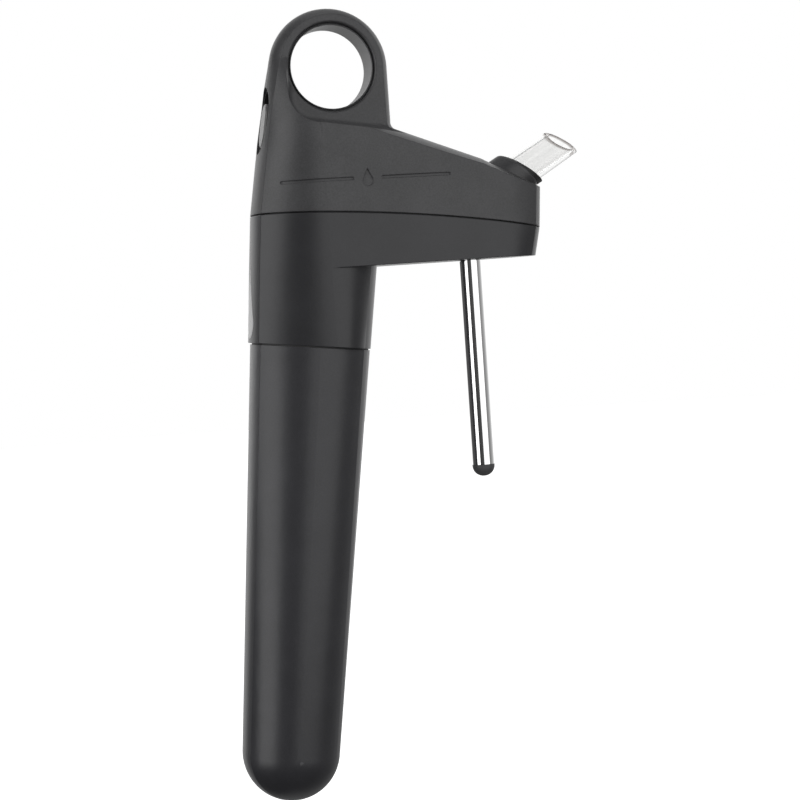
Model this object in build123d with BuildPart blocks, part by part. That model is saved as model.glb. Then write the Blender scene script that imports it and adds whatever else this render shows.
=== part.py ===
from build123d import *
import os
from math import asin, cos, degrees, radians, sin, sqrt

# Hand-held gas wine pourer. Millimetres, +Z up, +X towards the spout.
# The origin lies on the pour tube's axis, in the flat underside of the arm.

# ---------------------------------------------------------------- driving dimensions
HALF_WIDTH = 15.3          # widest half width of head and handle
CREASE = 8.5               # half width of the band that runs round the outline
JOIN_X = -44.0             # where the head's rear crown becomes its long side
WALL = 2.0                 # wall of head shells
COVER_WALL = 1.3           # wall of the handle cover
SEAM_GAP = 0.4             # shadow gap between the shells
CREASE_DRIFT = 0.4         # how far a crease moves in per millimetre of inset
FAR = 90.0                 # reach of cutting tools, past the whole object
LEAN = 7.0                 # lean of the handle's axis from upright, degrees

RING_X, RING_Z = -37.9, 56.1
RING_OUTER = 16.85
RING_HOLE = 11.6
RING_HALF = 6.0            # half thickness of the ring plate
RING_BAND_SAG = 2.3        # how far the ring's rim bulges past its creases
LINING = 0.3               # lining of the ring's hole, and the shadow groove round it
LINING_GROOVE, LINING_DEPTH, LINING_STEP = 0.4, 1.6, 0.8
RIM_ROUND = 0.7

REAR_X = (                 # height and rear edge of the column
    (-30.0, -66.85), (0.0, -64.25), (16.2, -62.7), (30.0, -60.3),
    (42.0, -58.15), (50.5, -56.5), (59.0, -54.5),
)
NOSE_X = ((0.0, 19.3), (8.0, 21.1), (20.0, 22.05), (45.0, 22.05))      # height and front edge
NOSE_CREASE = 8.7
NOSE_SAG = 3.3             # bulge of the nose band past its creases
NOSE_SHOULDER_X = 6.5      # where the arm's side turns in to the nose
NOSE_SHOULDER_HALF = 12.4

ARM_TOP = ((-23.4, 39.5), (4.0, 28.95), (24.0, 18.5))   # mid line of the arm's top
ARM_TOP_RADIUS = 30.0      # crown of the arm's top across its width
ARM_TOP_WALL = 1.1         # the arm's top is this much thicker than its sides
FRONT_COLUMN_X = -28.1     # front of the rear column at the underside
FRONT_COLUMN_SLOPE = 0.151
NECK_LENGTH = 26.0         # straight neck under the ring's centre
NECK_REACH = 8.0           # how far it runs back into the crown
NECK_ROOT_R = 2.6          # hollow curve between the neck and the arm's top
NECK_ROOT_Z, NECK_ROOT_SLOPE, NECK_ROOT_SINK = 38.62, 21.5, 0.04
POCKET_REAR = -51.45       # recess beside the ring: its rear edge, floor and corners
POCKET_FLOOR = ((-51.5, 41.2), (-10.0, 35.0))
POCKET_CORNER, POCKET_FOOT = 8.0, 3.0
REAR_SAG = 1.23            # bulge of the rear band past its creases
FRONT_CREASE = 10.0
FRONT_SAG = 3.5            # bulge of the column's front band past its creases
CROWN_HEIGHTS = (16.2, 20.0, 24.0, 28.0, 32.0, 36.0, 40.0, 44.0, 48.0, 52.0, 55.6, 59.2)
CROWN_START = 36.0         # above this the sides draw in towards the ring
CROWN_DROP = 8.9           # how much narrower the half width is at the ring's tangent
CROWN_CURVE = 1.8          # power of height by which it narrows

HANDLE_X, HANDLE_Z = -48.6, -21.5        # middle of the joint between head and handle
HANDLE_DEPTH = 17.2        # half depth of the handle at the joint
HANDLE_DEPTH_TAPER = 0.0268
HANDLE_WIDTH_TAPER = 0.0095
DOME_W = -115.3            # start of the round bottom, along the handle's axis
COVER_INSET = 0.3
SKIRT_INSET = COVER_INSET + COVER_WALL + 0.3     # the lower body's skirt, which the cover slides over
JOINT_SEAL_INSET = 0.75    # dark seal in the shadow gap above the cover
DOME_CREASE = 6.6          # crease half width and band bulge round the bottom end
DOME_SAG = 1.1

BUTTON_Z = 42.5            # middle of the oval recess in the rear band
BUTTON_LEAN = 10.4
BUTTON_SHIFT = -1.3        # the button sits a little low in its recess
RECESS_LONG, RECESS_WIDE = 19.0, 13.2
BUTTON_LONG, BUTTON_WIDE = 12.5, 8.0
VALVE_R = 3.6
VALVE_BORE, STEM_R = 1.8, 1.3
PORT_R = 1.6               # stub pipes that the hoses push on to
HOSE_OUTER, HOSE_INNER = 2.0, 1.2
VALVE_FRONT, VALVE_END = 10.0, 27.0      # depths behind the button's face
VALVE_INLET, VALVE_OUTLET = 18.0, 25.0
PORT_END, PORT_BORE = 31.0, 0.7

SPOUT_Z = 15.2             # where the spout's axis meets the pour tube's
SPOUT_TILT = 29.7
SPOUT_R, SPOUT_END_R = 5.3, 4.85
GASKET_R = 6.2              # dark ring round the foot of the spout, flush with the boss
GASKET_DEPTH, GASKET_PROUD = 1.2, 0.1
BOSS_R = 6.6
BOSS_TOP = (12.3, 28.7)
BOSS_SLOPE = 35.0

TUBE_R, TUBE_BORE = 3.25, 2.55
TUBE_NECK_R = 2.95          # the tube's upper end, above the shoulder that stops it under the bush
TUBE_SHOULDER, TUBE_TOP = -0.3, 9.9
RUNNING_GAP = 0.02          # radial clearance of round pieces that fit in each other
TUBE_END, TIP_END = -59.4, -62.8
TIP_PLUG = 4.0              # length of the tip's plug inside the tube
SLOT_LOW, SLOT_HIGH, SLOT_WIDE = -52.7, -45.0, 2.3
BUSH_R = 4.6

CAPSULE_R = 10.9
CAPSULE_WALL = 1.8
CAPSULE_TOP, CAPSULE_LOW = -14.0, -104.7     # along the handle's axis
CUP_R, CUP_BORE = 12.15, 11.2
CUP_TOP, CUP_LOW = -6.0, -108.0
STUB_R, STUB_LOW = 10.85, -20.0
REGULATOR_R = 12.4
REGULATOR_LOW, REGULATOR_TOP = 3.0, 20.0
REGULATOR_BORE = 8.0
REGULATOR_PORT_TOP = 28.4

SCREW_PLACES = ((-26, 9), (-26, -9), (-12, 8.5), (-12, -8.5))
SCREW_R, SCREW_HEAD_R, SCREW_BOSS_R = 0.93, 1.9, 2.1
SCREW_BOSS_LOW = 7.6
CHASSIS_LOW, CHASSIS_THICK = 5.6, 1.8

MARK_X, MARK_Z = -32.0, 24.2            # plain engraved line with a droplet in its middle
MARK_DEPTH = 0.35
MARK_LINE_AT, MARK_LINE_LONG, MARK_LINE_WIDE = 14.0, 20.0, 0.8
DROPLET_R, DROPLET_LOW, DROPLET_TOP = 1.5, 0.8, 2.6

SEAM_REAR = (-62.7, 16.2)  # arched joint line between top cover and lower body
SEAM_MID = (-23.0, 13.9)
SEAM_NOSE = (21.3, 7.7)
CEILING = 35.0             # flat roof of the head's hollow, under the ring

lean_up = Vector(sin(radians(LEAN)), 0, cos(radians(LEAN)))
lean_front = Vector(cos(radians(LEAN)), 0, -sin(radians(LEAN)))
handle_plane = Plane(origin=(HANDLE_X, 0, HANDLE_Z), x_dir=lean_front, z_dir=lean_up)


def rear_at(z):
    for (z0, x0), (z1, x1) in zip(REAR_X, REAR_X[1:]):
        if z <= z1:
            return x0 + (x1 - x0) * (z - z0) / (z1 - z0)
    return REAR_X[-1][1]


# ---------------------------------------------------------------- outer form of the head
def rear_outline(z, half, crease, sag, inset):
    """Plan outline of the rear crown at height z, closed at JOIN_X."""
    rear = rear_at(z) + inset
    half = half - inset
    edge = crease - CREASE_DRIFT * inset
    crease_x = rear + sag
    with BuildSketch(Plane.XY.offset(z)) as section:
        with BuildLine():
            Line((JOIN_X, -half), (JOIN_X, half))
            TangentArc((JOIN_X, half), (crease_x, edge), tangent=(-1, 0))
            ThreePointArc((crease_x, edge), (rear, 0), (crease_x, -edge))
            TangentArc((JOIN_X, -half), (crease_x, -edge), tangent=(-1, 0))
        make_face()
    return section.sketch


def arm_outline(z, nose, inset):
    """Plan outline of the arm at height z, from JOIN_X to the nose."""
    half = HALF_WIDTH - inset
    shoulder = NOSE_SHOULDER_HALF - inset
    edge = NOSE_CREASE - CREASE_DRIFT * inset
    nose = nose - inset
    crease_x = nose - NOSE_SAG
    with BuildSketch(Plane.XY.offset(z)) as section:
        with BuildLine():
            Line((JOIN_X, -half), (JOIN_X, half))
            side = TangentArc((JOIN_X, half), (NOSE_SHOULDER_X, shoulder), tangent=(1, 0))
            TangentArc((NOSE_SHOULDER_X, shoulder), (crease_x, edge), tangent=side % 1)
            ThreePointArc((crease_x, edge), (nose, 0), (crease_x, -edge))
            other = TangentArc((JOIN_X, -half), (NOSE_SHOULDER_X, -shoulder), tangent=(1, 0))
            TangentArc((NOSE_SHOULDER_X, -shoulder), (crease_x, -edge), tangent=other % 1)
        make_face()
    return section.sketch


def front_outline(z, front, inset):
    """Plan outline of the column's front crown under the arm, closed at JOIN_X."""
    half = HALF_WIDTH - inset
    edge = FRONT_CREASE - CREASE_DRIFT * inset
    front = front - inset
    crease_x = front - FRONT_SAG
    with BuildSketch(Plane.XY.offset(z)) as section:
        with BuildLine():
            Line((JOIN_X, -half), (JOIN_X, half))
            TangentArc((JOIN_X, half), (crease_x, edge), tangent=(1, 0))
            ThreePointArc((crease_x, edge), (front, 0), (crease_x, -edge))
            TangentArc((JOIN_X, -half), (crease_x, -edge), tangent=(1, 0))
        make_face()
    return section.sketch


def arm_top_tool(level, crown):
    """Everything above one straight stretch of the arm's crowned top."""
    (x0, z0), (x1, z1) = level
    wide = HALF_WIDTH + 4.7
    along = Vector(x1 - x0, 0, z1 - z0).normalized()
    up = Vector(-along.Z, 0, along.X)
    start = Plane(origin=Vector(x0, 0, z0) - along * FAR, x_dir=(0, 1, 0), z_dir=along)
    side = 1 if start.y_dir.dot(up) > 0 else -1
    with BuildPart() as tool:
        with BuildSketch(start):
            with BuildLine():
                drop = -side * (crown - sqrt(crown**2 - wide**2))
                ThreePointArc((-wide, drop), (0, 0), (wide, drop))
                Polyline((wide, drop), (wide, side * FAR), (-wide, side * FAR), (-wide, drop))
            make_face()
        extrude(amount=2 * FAR)
    return tool.part


def arm_form(inset, bottom):
    """The arm and the middle of the head, with its crowned top."""
    with BuildPart() as form:
        for (z0, nose0), (z1, nose1) in zip(NOSE_X, NOSE_X[1:]):
            loft([arm_outline(z0, nose0, inset), arm_outline(z1, nose1, inset)], ruled=True)
        for level in zip(ARM_TOP, ARM_TOP[1:]):
            lowered = [(x, z - ARM_TOP_WALL * inset) for x, z in level]
            add(arm_top_tool(lowered, ARM_TOP_RADIUS), mode=Mode.SUBTRACT)
        split(bisect_by=Plane.XY.offset(bottom), keep=Keep.TOP)
    return form.part


def column_form(inset):
    """The rear column from its upright crown down past the joint with the handle."""
    with BuildPart() as form:
        rear = [rear_outline(z, HALF_WIDTH, CREASE, REAR_SAG, inset) for z, x in REAR_X[:3]]
        loft(rear, ruled=True)
        heights = (REAR_X[0][0], WALL + 1)
        front = [front_outline(z, FRONT_COLUMN_X + z * FRONT_COLUMN_SLOPE, inset) for z in heights]
        loft(front, ruled=True)
    return form.part


def crown_form():
    """The upper rear of the head, which draws in to the ring's thickness."""
    with BuildPart() as form:
        sections = []
        for z in CROWN_HEIGHTS:
            share = max(0, z - CROWN_START) / (CROWN_HEIGHTS[-1] - CROWN_START)
            half = HALF_WIDTH - CROWN_DROP * share**CROWN_CURVE
            crease = CREASE - (CREASE - RING_HALF + 0.1) * share**2
            sections.append(rear_outline(z, half, crease, REAR_SAG + share**2, 0))
        loft(sections)
    return form.part


def ring_form():
    """The ring's disc and the flat neck under it."""
    crease = RING_OUTER - RING_BAND_SAG
    with BuildPart() as form:
        with BuildSketch(Plane(origin=(RING_X, 0, RING_Z))):
            with BuildLine():
                Polyline((0, RING_HALF), (0, -RING_HALF), (crease, -RING_HALF))
                ThreePointArc((crease, -RING_HALF), (RING_OUTER, 0), (crease, RING_HALF))
                Line((crease, RING_HALF), (0, RING_HALF))
            make_face()
        revolve(axis=Axis((RING_X, 0, RING_Z), (0, 1, 0)))
        with BuildSketch(Plane(origin=(RING_X, 0, RING_Z))):
            with BuildLine():
                Polyline((crease, -RING_HALF), (-NECK_REACH, -RING_HALF), (-NECK_REACH, RING_HALF),
                         (crease, RING_HALF))
                ThreePointArc((crease, -RING_HALF), (RING_OUTER, 0), (crease, RING_HALF))
            make_face()
        extrude(amount=-NECK_LENGTH)
    return form.part


def pocket_tool():
    """One side's recess down to the ring plate, with a rounded foot."""
    with BuildPart() as tool:
        with BuildSketch(Plane.XZ.offset(RING_HALF)):
            with BuildLine():
                FilletPolyline((POCKET_REAR, FAR), *POCKET_FLOOR, radius=POCKET_CORNER)
                Polyline(POCKET_FLOOR[1], (POCKET_FLOOR[1][0], FAR), (POCKET_REAR, FAR))
            make_face()
        extrude(amount=HALF_WIDTH)
        foot = tool.edges().filter_by(Plane.XZ).group_by(Axis.Y)[-1]
        fillet(foot.filter_by(lambda e: e.center().Z < 80 and e.center().X < -11), radius=POCKET_FOOT)
    return tool.part


def hole_tool():
    """The ring's hole, with round rims and a shadow groove round the lining of each."""
    past = 2 * RING_HALF
    groove_in = RING_HOLE + LINING
    groove_out = groove_in + LINING_GROOVE
    rim_r = groove_out + RIM_ROUND
    floor = RING_HALF - LINING_DEPTH
    lip = RING_HALF - LINING_STEP
    with BuildPart() as tool:
        for side in (1, -1):
            with BuildSketch(Plane(origin=(RING_X, 0, RING_Z))):
                with BuildLine():
                    Polyline((0, 0), (RING_HOLE, 0), (RING_HOLE, side * lip), (groove_in, side * lip),
                             (groove_in, side * floor), (groove_out, side * floor),
                             (groove_out, side * (RING_HALF - RIM_ROUND)))
                    RadiusArc((groove_out, side * (RING_HALF - RIM_ROUND)), (rim_r, side * RING_HALF),
                              side * RIM_ROUND)
                    Polyline((rim_r, side * RING_HALF), (rim_r, side * past), (0, side * past), (0, 0))
                make_face()
        revolve(axis=Axis((RING_X, 0, RING_Z), (0, 1, 0)))
    return tool.part


def neck_root():
    """The hollow curve that blends the front of the neck into the arm's top."""
    band_r = (RING_HALF**2 + RING_BAND_SAG**2) / (2 * RING_BAND_SAG)
    centre_x = RING_X + RING_OUTER - band_r
    slope = radians(NECK_ROOT_SLOPE)
    reach = NECK_ROOT_R * sin((radians(90) - slope) / 2) / cos((radians(90) - slope) / 2)
    wall = (RING_X + RING_OUTER - NECK_ROOT_SINK, NECK_ROOT_Z + reach)
    foot = (wall[0] + reach * cos(slope), NECK_ROOT_Z - reach * sin(slope) - NECK_ROOT_SINK)
    half_turn = degrees(asin(RING_HALF / band_r))
    with BuildPart() as root:
        with BuildSketch(Plane.XZ):
            with BuildLine():
                TangentArc(wall, foot, tangent=(0, -1))
                Polyline(foot, (foot[0], foot[1] - 1), (centre_x + 6, foot[1] - 1),
                         (centre_x + 6, wall[1]), wall)
            make_face()
        revolve(axis=Axis((centre_x, 0, 0), (0, 0, 1)), revolution_arc=2 * half_turn)
    return root.part.rotate(Axis((centre_x, 0, 0), (0, 0, 1)), -half_turn)


def head_form():
    """The whole closed outer form of the head, from the ring to the handle joint."""
    pocket = pocket_tool()
    with BuildPart() as form:
        add(arm_form(0, 0))
        add(column_form(0))
        add(crown_form())
        add(pocket, mode=Mode.SUBTRACT)
        add(pocket.mirror(Plane.XZ), mode=Mode.SUBTRACT)
        add(ring_form())
        add(neck_root())
        add(hole_tool(), mode=Mode.SUBTRACT)
    return form.part


def below_seam(shift):
    """Everything below the arched joint line between the top cover and the lower body."""
    with BuildPart() as block:
        with BuildSketch(Plane.XZ):
            with BuildLine():
                arc = ThreePointArc(*[(x, z + shift) for x, z in (SEAM_REAR, SEAM_MID, SEAM_NOSE)])
                Polyline(arc @ 1, arc @ 1 + (arc % 1) * FAR, (FAR, -FAR), (-FAR, -FAR),
                         (-FAR, SEAM_REAR[1] + shift), arc @ 0)
            make_face()
        extrude(amount=2 * HALF_WIDTH, both=True)
    return block.part


def head_cavity(inset, ceiling):
    """The hollow of the head, drawn in from the outer form and flat at the ceiling."""
    with BuildPart() as hollow:
        upright = [rear_outline(z, HALF_WIDTH, CREASE, REAR_SAG, inset) for z in (REAR_X[2][0], ceiling)]
        loft(upright, ruled=True)
        add(arm_form(inset, inset))
        add(column_form(inset))
        split(bisect_by=Plane.XY.offset(ceiling), keep=Keep.BOTTOM)
    return hollow.part


def handle_outline(w, inset):
    """Section of the handle square to its axis, at w along it from the joint."""
    depth = HANDLE_DEPTH + HANDLE_DEPTH_TAPER * w - inset
    half = HALF_WIDTH + HANDLE_WIDTH_TAPER * w - inset
    share = w / DOME_W
    rear_edge = CREASE + (DOME_CREASE - CREASE) * share - CREASE_DRIFT * inset
    front_edge = FRONT_CREASE + (DOME_CREASE - FRONT_CREASE) * share - CREASE_DRIFT * inset
    rear_x = -depth + REAR_SAG + (DOME_SAG - REAR_SAG) * share
    front_x = depth - FRONT_SAG - (DOME_SAG - FRONT_SAG) * share
    with BuildSketch(handle_plane.offset(w)) as section:
        with BuildLine():
            TangentArc((0, half), (rear_x, rear_edge), tangent=(-1, 0))
            ThreePointArc((rear_x, rear_edge), (-depth, 0), (rear_x, -rear_edge))
            TangentArc((0, -half), (rear_x, -rear_edge), tangent=(-1, 0))
            TangentArc((0, half), (front_x, front_edge), tangent=(1, 0))
            ThreePointArc((front_x, front_edge), (depth, 0), (front_x, -front_edge))
            TangentArc((0, -half), (front_x, -front_edge), tangent=(1, 0))
        make_face()
    return section.sketch


def handle_form(top, inset):
    """The handle's closed form with its round bottom end."""
    depth = HANDLE_DEPTH + HANDLE_DEPTH_TAPER * DOME_W - inset
    half = HALF_WIDTH + HANDLE_WIDTH_TAPER * DOME_W - inset
    edge = DOME_CREASE - CREASE_DRIFT * inset
    dome_plane = handle_plane.offset(DOME_W)
    with BuildPart() as form:
        loft([handle_outline(top, inset), handle_outline(DOME_W, inset)], ruled=True)
        with BuildSketch(dome_plane):
            with BuildLine():
                Line((0, -half), (0, half))
                TangentArc((0, half), (depth - DOME_SAG, edge), tangent=(1, 0))
                ThreePointArc((depth - DOME_SAG, edge), (depth, 0), (depth - DOME_SAG, -edge))
                TangentArc((0, -half), (depth - DOME_SAG, -edge), tangent=(1, 0))
            make_face()
        revolve(axis=Axis(dome_plane.origin, (0, 1, 0)), revolution_arc=180)
    return form.part


def rod(plane, radius, low, high):
    """A round bar along a plane's normal."""
    with BuildPart() as bar:
        with BuildSketch(plane.offset(low)):
            Circle(radius)
        extrude(amount=high - low)
    return bar.part


def slot_bar(plane, long, wide, low, high, shift=0.0):
    """A bar of rounded-slot section, its length along the plane's y."""
    with BuildPart() as bar:
        with BuildSketch(plane.offset(low)):
            with Locations((0, shift)):
                SlotOverall(long, wide, rotation=90)
        extrude(amount=high - low)
    return bar.part


def oval_bar(plane, long, wide, low, high):
    """A bar of oval section, its length along the plane's y."""
    with BuildPart() as bar:
        with BuildSketch(plane.offset(low)):
            Ellipse(wide / 2, long / 2)
        extrude(amount=high - low)
    return bar.part


def coil(plane, radius, wire, low, high, turns):
    """A compression spring along a plane's normal."""
    path = Helix(pitch=(high - low) / turns, height=high - low, radius=radius, center=(0, 0, 0))
    start = Plane(origin=path @ 0, z_dir=path % 0)
    with BuildPart() as spring:
        with BuildSketch(start):
            Circle(wire / 2)
        sweep(path=path, is_frenet=True)
    return plane.offset(low).location * spring.part


def hose(points, radius, outer_r, inner_r):
    """A hose along straight runs joined by arcs."""
    with BuildPart() as tube:
        with BuildLine() as route:
            FilletPolyline(points, radius=radius)
        start = Plane(origin=route.line @ 0, z_dir=route.line % 0)
        with BuildSketch(start):
            Circle(outer_r)
            Circle(inner_r, mode=Mode.SUBTRACT)
        sweep(path=route.line)
    return tube.part


def washer(plane, outer_r, inner_r, low, high):
    """A flat ring along a plane's normal."""
    with BuildPart() as ring:
        with BuildSketch(plane.offset(low)):
            Circle(outer_r)
            Circle(inner_r, mode=Mode.SUBTRACT)
        extrude(amount=high - low)
    return ring.part


def finish(piece, name):
    """Labels one sub-part and writes its STEP file."""
    piece.label = name
    export_step(piece, f"parts/{name}.step")


os.makedirs("parts", exist_ok=True)

# ---------------------------------------------------------------- planes that the pieces share
button_plane = Plane(
    origin=(rear_at(BUTTON_Z), 0, BUTTON_Z),
    x_dir=(0, -1, 0),
    z_dir=(-cos(radians(BUTTON_LEAN)), 0, sin(radians(BUTTON_LEAN))),
)
valve_plane = Plane(
    origin=button_plane.from_local_coords(Vector(0, BUTTON_SHIFT, 0)),
    x_dir=(0, -1, 0),
    z_dir=button_plane.z_dir,
)
spout_plane = Plane(
    origin=(0, 0, SPOUT_Z),
    x_dir=(0, 1, 0),
    z_dir=(cos(radians(SPOUT_TILT)), 0, sin(radians(SPOUT_TILT))),
)
handle_side = Plane(origin=handle_plane.origin, x_dir=lean_front, z_dir=(0, -1, 0))
handle_axis = Axis(handle_plane.origin, lean_up)
inlet = valve_plane.from_local_coords(Vector(0, 0, -VALVE_INLET))
outlet = valve_plane.from_local_coords(Vector(0, 0, -VALVE_OUTLET))
inlet_plane = Plane(origin=(inlet.X, 0, 0))
outlet_plane = Plane(origin=(outlet.X, 0, 0))
tube_plane = Plane.XY
outer = head_form()
hollow = head_cavity(WALL, CEILING)
joint_top = handle_plane.offset(SEAM_GAP / 2)

# ---------------------------------------------------------------- top cover with its ring
boss_cut = Plane(
    origin=(BOSS_TOP[0], 0, BOSS_TOP[1]),
    x_dir=(0, 1, 0),
    z_dir=(sin(radians(BOSS_SLOPE)), 0, cos(radians(BOSS_SLOPE))),
)
with BuildPart() as boss:
    with BuildSketch(spout_plane.offset(9)):
        with Locations((0, 0.5)):
            Circle(BOSS_R)
    extrude(amount=20)
    split(bisect_by=boss_cut, keep=Keep.BOTTOM)
    fillet(boss.faces().sort_by(Axis.Z)[-1].edges(), radius=1.3)

GASKET_START, GASKET_END = 6.0, 30.0
with BuildPart() as gasket_seat:
    add(rod(spout_plane, GASKET_R + RUNNING_GAP, GASKET_START, GASKET_END))
    split(bisect_by=boss_cut.offset(-GASKET_DEPTH - RUNNING_GAP), keep=Keep.TOP)

with BuildPart() as mark:
    with BuildSketch(Plane.XZ.offset(6)):
        with Locations((MARK_X - MARK_LINE_AT, MARK_Z), (MARK_X + MARK_LINE_AT, MARK_Z)):
            SlotOverall(MARK_LINE_LONG, MARK_LINE_WIDE)
        with Locations((MARK_X, MARK_Z - DROPLET_LOW)):
            Circle(DROPLET_R)
        with BuildLine():
            cheek = 0.88 * DROPLET_R
            Polyline((MARK_X - cheek, MARK_Z - 0.1), (MARK_X, MARK_Z + DROPLET_TOP),
                     (MARK_X + cheek, MARK_Z - 0.1), close=True)
        make_face()
    extrude(amount=HALF_WIDTH)
    add(head_cavity(MARK_DEPTH, CEILING + 1), mode=Mode.SUBTRACT)

with BuildPart() as top_cover:
    add(outer)
    add(boss.part)
    add(hollow, mode=Mode.SUBTRACT)
    add(below_seam(SEAM_GAP / 2), mode=Mode.SUBTRACT)
    add(mark.part, mode=Mode.SUBTRACT)
    add(mark.part.mirror(Plane.XZ), mode=Mode.SUBTRACT)
    add(rod(spout_plane, SPOUT_R + 0.25, 4, 30), mode=Mode.SUBTRACT)
    add(gasket_seat.part, mode=Mode.SUBTRACT)
    add(oval_bar(button_plane, RECESS_LONG, RECESS_WIDE, -3.4, 6), mode=Mode.SUBTRACT)
    add(slot_bar(valve_plane, 15.2, 10.6, -9.6, -3), mode=Mode.SUBTRACT)
    add(rod(valve_plane, VALVE_R + 0.25, -33, -9), mode=Mode.SUBTRACT)
    add(rod(inlet_plane, 2.3, 30, inlet.Z), mode=Mode.SUBTRACT)
    with BuildSketch(Plane.XY.offset(SCREW_BOSS_LOW)):
        with Locations(*SCREW_PLACES):
            Circle(SCREW_BOSS_R)
    extrude(until=Until.NEXT)
    with BuildSketch(Plane.XY.offset(SCREW_BOSS_LOW)):
        with Locations(*SCREW_PLACES):
            Circle(SCREW_R + RUNNING_GAP)
    extrude(amount=10, mode=Mode.SUBTRACT)
finish(top_cover.part, "top_cover")

# ---------------------------------------------------------------- lower body
with BuildPart() as seam_lip:
    add(head_cavity(WALL - 0.3, CEILING))
    add(below_seam(-SEAM_GAP / 2), mode=Mode.INTERSECT)
    add(below_seam(-1.4), mode=Mode.SUBTRACT)
with BuildPart() as upper_lip:
    add(head_cavity(WALL + 0.15, CEILING))
    add(below_seam(1.6), mode=Mode.INTERSECT)
    add(below_seam(-0.4), mode=Mode.SUBTRACT)
with BuildPart() as skirt:
    loft([handle_outline(2.0, SKIRT_INSET), handle_outline(-4.0, SKIRT_INSET)], ruled=True)
    inner_skirt = SKIRT_INSET + 1.2
    skirt_bore = [handle_outline(w, inner_skirt) for w in (2.5, -4.5)]
    loft(skirt_bore, ruled=True, mode=Mode.SUBTRACT)

with BuildPart() as lower_body:
    add(outer)
    add(hollow, mode=Mode.SUBTRACT)
    add(below_seam(-SEAM_GAP / 2), mode=Mode.INTERSECT)
    split(bisect_by=joint_top, keep=Keep.TOP)
    add(seam_lip.part)
    add(upper_lip.part)
    add(head_cavity(WALL + 1.1, CEILING), mode=Mode.SUBTRACT)
    add(skirt.part)
    add(rod(tube_plane, BUSH_R + 0.05, -1, WALL + 2), mode=Mode.SUBTRACT)
finish(lower_body.part, "lower_body")

# ---------------------------------------------------------------- handle cover
with BuildPart() as handle_cover:
    add(handle_form(-SEAM_GAP / 2, COVER_INSET))
    add(handle_form(SEAM_GAP, COVER_INSET + COVER_WALL), mode=Mode.SUBTRACT)
finish(handle_cover.part, "handle_cover")

# ---------------------------------------------------------------- seal between lower body and cover
SEAL_LIFT = SEAM_GAP / 2 - 0.02
with BuildPart() as joint_seal:
    loft([handle_outline(w, JOINT_SEAL_INSET) for w in (SEAL_LIFT, -SEAL_LIFT)], ruled=True)
    seal_inner = SKIRT_INSET - RUNNING_GAP
    loft([handle_outline(1, seal_inner), handle_outline(-1, seal_inner)], ruled=True, mode=Mode.SUBTRACT)
finish(joint_seal.part, "joint_seal")

# ---------------------------------------------------------------- gas button and its bezel
with BuildPart() as button_bezel:
    add(oval_bar(button_plane, RECESS_LONG - 0.2, RECESS_WIDE - 0.2, -3.3, -1.0))
    add(oval_bar(button_plane, RECESS_LONG - 2.0, RECESS_WIDE - 2.0, -2.4, 0), mode=Mode.SUBTRACT)
    add(slot_bar(valve_plane, BUTTON_LONG + 0.8, BUTTON_WIDE + 0.8, -5, 0), mode=Mode.SUBTRACT)
finish(button_bezel.part, "button_bezel")

with BuildPart() as gas_button:
    add(slot_bar(valve_plane, BUTTON_LONG, BUTTON_WIDE, -3.7, -0.5))
    fillet(gas_button.faces().sort_by(Axis(valve_plane.origin, valve_plane.z_dir))[-1].edges(), radius=0.7)
    add(slot_bar(valve_plane, BUTTON_LONG + 2.1, BUTTON_WIDE + 2.1, -4.7, -3.6))
finish(gas_button.part, "gas_button")

finish(coil(valve_plane, 2.6, 0.6, -9.5, -5.1, 4), "button_spring")

# ---------------------------------------------------------------- gas valve behind the button
with BuildPart() as valve_body:
    add(rod(valve_plane, VALVE_R, -VALVE_END, -VALVE_FRONT))
    add(rod(inlet_plane, PORT_R, PORT_END, inlet.Z))
    add(rod(outlet_plane, PORT_R, PORT_END, outlet.Z))
    add(rod(valve_plane, VALVE_BORE, -24.2, 0), mode=Mode.SUBTRACT)
    add(rod(inlet_plane, PORT_BORE, PORT_END - 1, inlet.Z - 0.5), mode=Mode.SUBTRACT)
    add(rod(outlet_plane, PORT_BORE, PORT_END - 1, outlet.Z), mode=Mode.SUBTRACT)
    add(rod(valve_plane, 1.0, -26, -24), mode=Mode.SUBTRACT)
finish(valve_body.part, "valve_body")

with BuildPart() as valve_stem:
    add(rod(valve_plane, STEM_R, -17.5, -4.8))
    fillet(valve_stem.edges().filter_by(GeomType.CIRCLE), radius=0.3)
finish(valve_stem.part, "valve_stem")

finish(washer(valve_plane, VALVE_BORE - 0.01, STEM_R + 0.1, -13.2, -12.0), "valve_seal")

finish(coil(valve_plane, 1.15, 0.4, -23.8, -17.9, 6), "valve_spring")

# ---------------------------------------------------------------- gas hoses and check valve
regulator_outlet = tuple(handle_plane.offset(REGULATOR_PORT_TOP + 0.1).origin)
hose_bend = tuple(handle_plane.offset(37).origin)
inlet_route = (regulator_outlet, hose_bend, (inlet.X, 0, 22), (inlet.X, 0, PORT_END))
finish(hose(inlet_route, 6, HOSE_OUTER, HOSE_INNER), "inlet_hose")

CHECK_REAR, CHECK_FRONT, GAS_Z = -17.0, -10.5, 10.0
outlet_route = ((outlet.X, 0, PORT_END), (outlet.X, 0, 19), (-26, 0, GAS_Z), (CHECK_REAR, 0, GAS_Z))
finish(hose(outlet_route, 5, HOSE_OUTER, HOSE_INNER), "outlet_hose")

gas_line_plane = Plane(origin=(0, 0, GAS_Z), x_dir=(0, 1, 0), z_dir=(1, 0, 0))
with BuildPart() as check_valve:
    add(rod(gas_line_plane, 3.0, CHECK_REAR, CHECK_FRONT))
    chamfer(check_valve.edges().filter_by(GeomType.CIRCLE), length=0.6)
    add(rod(gas_line_plane, 1.0, CHECK_REAR, CHECK_FRONT), mode=Mode.SUBTRACT)
finish(check_valve.part, "check_valve")

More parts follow.
